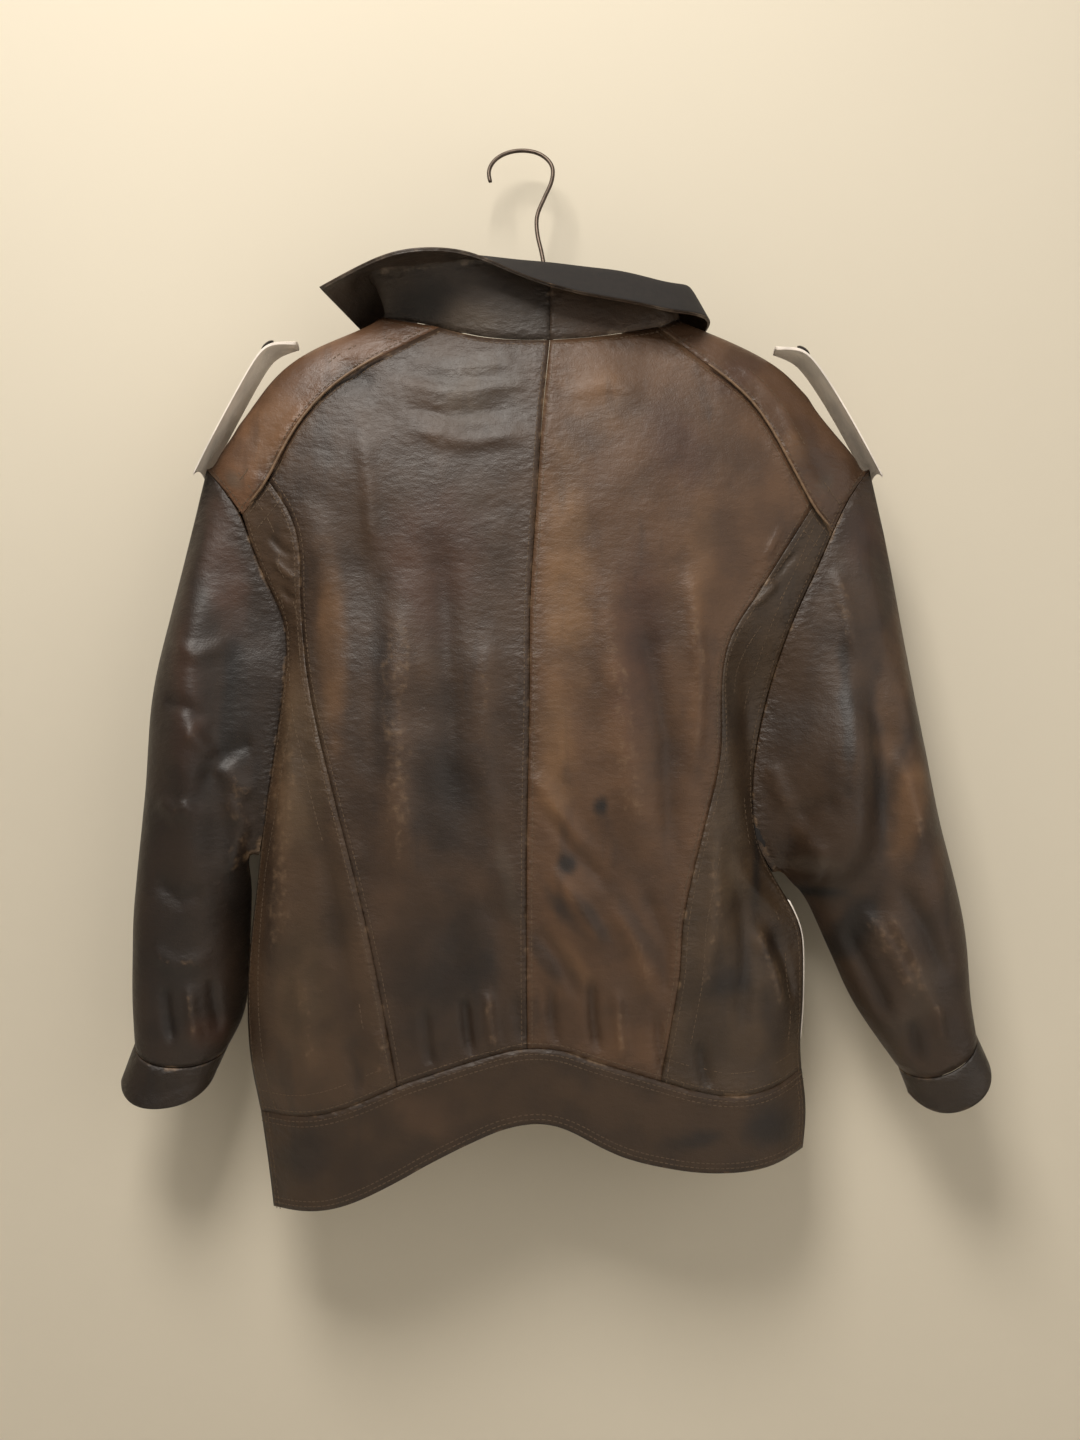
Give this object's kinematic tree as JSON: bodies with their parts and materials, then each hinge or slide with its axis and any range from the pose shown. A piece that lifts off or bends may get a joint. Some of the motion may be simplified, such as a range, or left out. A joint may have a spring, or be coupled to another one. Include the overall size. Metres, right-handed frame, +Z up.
{
  "type": "worn leather jacket on a hanger",
  "caption": "Worn brown leather blouson, zipped, hung on a plain hanger with its back to the viewer, collar turned up, epaulettes and a wide waistband.",
  "frame": {"origin": "inner top of the hanger's hook, where the wire rests on a nail", "axes": "+Z up, +Y from the jacket's back towards its front, +X to the right of somebody looking at its back"},
  "size_m": [0.6991, 0.1301, 0.8716],
  "materials": {
    "leather_brown": "worn satin leather with scuffs",
    "leather_tan": "worn satin leather with dark streaks",
    "leather_red_brown": "worn semi-gloss leather",
    "leather_dark": "worn satin dark leather",
    "leather_collar": "worn satin leather, darkened where it touches skin",
    "piping": "worn leather cord",
    "zip_tape": "woven tape",
    "zip_metal": "dull dark brass",
    "button": "smooth dark",
    "hanger_plastic": "smooth dark",
    "hook_wire": "dull dark wire"
  },
  "bodies": {
    "jacket": {"back_left": "leather_brown", "back_right": "leather_tan", "side_back_left": "leather_tan", "side_back_right": "leather_tan", "yoke_left": "leather_red_brown", "yoke_right": "leather_red_brown", "front_left": "leather_brown", "front_right": "leather_brown", "waistband_back": "leather_brown", "waistband_front_left": "leather_brown", "waistband_front_right": "leather_brown", "waist_tab_right": "leather_brown", "sleeve_back_left": "leather_dark", "sleeve_front_left": "leather_dark", "sleeve_back_right": "leather_dark", "sleeve_front_right": "leather_dark", "cuff_left": "leather_dark", "cuff_right": "leather_dark", "top_collar": "leather_collar", "under_collar_left": "leather_collar", "under_collar_right": "leather_collar", "yoke_piping_left": "piping", "yoke_piping_right": "piping", "epaulette_left": "leather_red_brown", "epaulette_button_left": "button", "epaulette_right": "leather_red_brown", "epaulette_button_right": "button", "zip_chain": "zip_metal", "zip_tape_left": "zip_tape", "zip_tape_right": "zip_tape", "zip_slider": "zip_metal", "pocket_welt_left": "leather_brown", "pocket_welt_right": "leather_brown", "hanger": "hanger_plastic", "hook": "hook_wire"},
    "pull_tab": {"pull_tab": "zip_metal"}
  },
  "joints": [
    {"name": "pull_tab_swing", "type": "hinge", "parent": "jacket", "child": "pull_tab", "pos_m": [0.014, -0.00297, -0.244], "axis": [1, 0, 0], "range_deg": [0, 120]}
  ]
}
